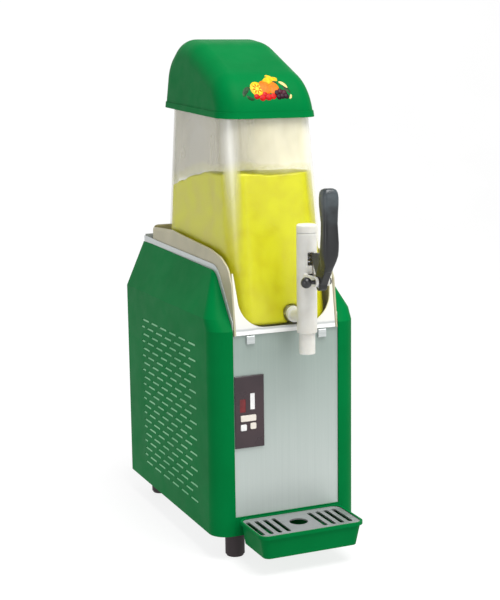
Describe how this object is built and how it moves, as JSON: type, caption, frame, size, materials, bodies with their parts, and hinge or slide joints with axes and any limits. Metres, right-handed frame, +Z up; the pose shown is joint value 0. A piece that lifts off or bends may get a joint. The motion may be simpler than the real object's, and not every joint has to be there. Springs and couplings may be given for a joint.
{
  "type": "slush machine",
  "caption": "Narrow countertop slush machine: green louvred case, clear tapered bowl with domed lid, chilled drum and auger, front lever tap and drip tray.",
  "frame": {"origin": "on the floor, at the middle of the machine's width and of its depth from the tap lever to the power inlet", "axes": "+X to the machine's right as it faces the user, +Y to the back, +Z up"},
  "size_m": [0.24, 0.5259, 0.7841],
  "materials": {
    "green_shell": "moulded, satin gloss",
    "stainless": "brushed",
    "galvanized": "zinc coated",
    "clear_plastic": "clear polycarbonate",
    "slush": "wet ice slush",
    "white_plastic": "moulded, satin",
    "beige_plastic": "moulded, translucent look",
    "black_plastic": "moulded, gloss",
    "dark_panel": "gloss label face",
    "red_window": "tinted window",
    "light_bar": "lit window",
    "cream_plastic": "moulded",
    "rubber": "moulded",
    "silicone": "moulded",
    "copper": "drawn tube",
    "aluminium": "mill",
    "machine_steel": "ground",
    "black_paint": "satin",
    "circuit_board": "solder mask",
    "badge": "printed label"
  },
  "bodies": {
    "chassis": {"base_pan": "galvanized", "chassis_frame": "galvanized", "side_panel_left": "green_shell", "side_panel_right": "green_shell", "front_panel": "stainless", "front_base_trim": "green_shell", "top_deck": "stainless", "rear_panel": "stainless", "feet": "rubber", "panel_screws": "machine_steel", "bowl_seat": "beige_plastic", "evaporator_drum": "stainless", "evaporator_coil": "copper", "shaft_bearings": "white_plastic", "shaft_seal": "rubber", "gearbox_case": "aluminium", "gearbox_cover": "aluminium", "motor_can": "black_paint", "compressor": "black_paint", "compressor_grommets": "rubber", "compressor_cover": "black_plastic", "condenser": "aluminium", "fan_shroud": "galvanized", "fan_motor": "black_paint", "fan_motor_bracket": "galvanized", "refrigerant_pipes": "copper", "filter_drier": "copper", "control_bezel": "dark_panel", "control_board": "circuit_board", "display_window": "red_window", "level_bar": "light_bar", "power_inlet": "black_plastic", "tray_brackets": "stainless", "bowl_catches": "stainless"},
    "bowl": {"bowl": "clear_plastic", "bowl_front_flange": "white_plastic", "bowl_gasket": "silicone", "tap_body": "white_plastic", "tap_cap": "white_plastic", "tap_inlet_seal": "silicone", "tap_nut": "white_plastic", "tap_pivot_pin": "black_plastic", "tap_spring": "machine_steel", "slush_mix": "slush"},
    "lid": {"lid": "green_shell", "lid_badge": "badge"},
    "tap_lever": {"tap_lever": "black_plastic"},
    "tap_piston": {"tap_piston": "white_plastic", "tap_piston_seals": "rubber"},
    "auger": {"auger": "white_plastic", "auger_cap": "white_plastic", "drive_shaft": "machine_steel", "output_gear": "machine_steel"},
    "motor_rotor": {"motor_pinion": "machine_steel"},
    "fan_rotor": {"fan_blades": "black_plastic"},
    "drip_tray": {"drip_tray": "green_shell"},
    "drip_grate": {"drip_grate": "stainless"},
    "mode_button": {"mode_button": "cream_plastic"},
    "minus_button": {"minus_button": "light_bar"},
    "plus_button": {"plus_button": "cream_plastic"}
  },
  "joints": [
    {"name": "bowl_lift", "type": "slide", "parent": "chassis", "child": "bowl", "axis": [0, 0, 1], "range_m": [0, 0.14]},
    {"name": "lid_lift", "type": "slide", "parent": "bowl", "child": "lid", "axis": [0, 0, 1], "range_m": [0, 0.15]},
    {"name": "tap_pull", "type": "hinge", "parent": "bowl", "child": "tap_lever", "pos_m": [0.014, -0.227, 0.434], "axis": [1, 0, 0], "range_deg": [0, 35], "stiffness_Nm_per_rad": 1.5, "springref_deg": -11.46},
    {"name": "tap_piston_slide", "type": "slide", "parent": "bowl", "child": "tap_piston", "axis": [0, 0, 1], "range_m": [0, 0.0272], "deforming": ["tap_spring"]},
    {"name": "auger_spin", "type": "hinge", "parent": "chassis", "child": "auger", "pos_m": [0, 0.055, 0.48], "axis": [0, 0, 1], "continuous": true},
    {"name": "motor_spin", "type": "hinge", "parent": "chassis", "child": "motor_rotor", "pos_m": [0, 0.109, 0.4], "axis": [0, 0, 1], "continuous": true},
    {"name": "fan_spin", "type": "hinge", "parent": "chassis", "child": "fan_rotor", "pos_m": [0, 0.197, 0.142], "axis": [0, 1, 0], "continuous": true},
    {"name": "tray_pull", "type": "slide", "parent": "chassis", "child": "drip_tray", "axis": [0, -1, 0], "range_m": [0, 0.1]},
    {"name": "grate_lift", "type": "slide", "parent": "drip_tray", "child": "drip_grate", "axis": [0, 0, 1], "range_m": [0, 0.04]},
    {"name": "mode_button_press", "type": "slide", "parent": "chassis", "child": "mode_button", "axis": [0, 1, 0], "range_m": [0, 0.0012], "stiffness_N_per_m": 250, "springref_m": -0.0004},
    {"name": "minus_button_press", "type": "slide", "parent": "chassis", "child": "minus_button", "axis": [0, 1, 0], "range_m": [0, 0.0012], "stiffness_N_per_m": 250, "springref_m": -0.0004},
    {"name": "plus_button_press", "type": "slide", "parent": "chassis", "child": "plus_button", "axis": [0, 1, 0], "range_m": [0, 0.0012], "stiffness_N_per_m": 250, "springref_m": -0.0004}
  ],
  "couplings": [
    {"joint": "tap_piston_slide", "follows": "tap_pull", "m_per_rad": 0.04413},
    {"joint": "motor_spin", "follows": "auger_spin", "ratio": -3}
  ]
}
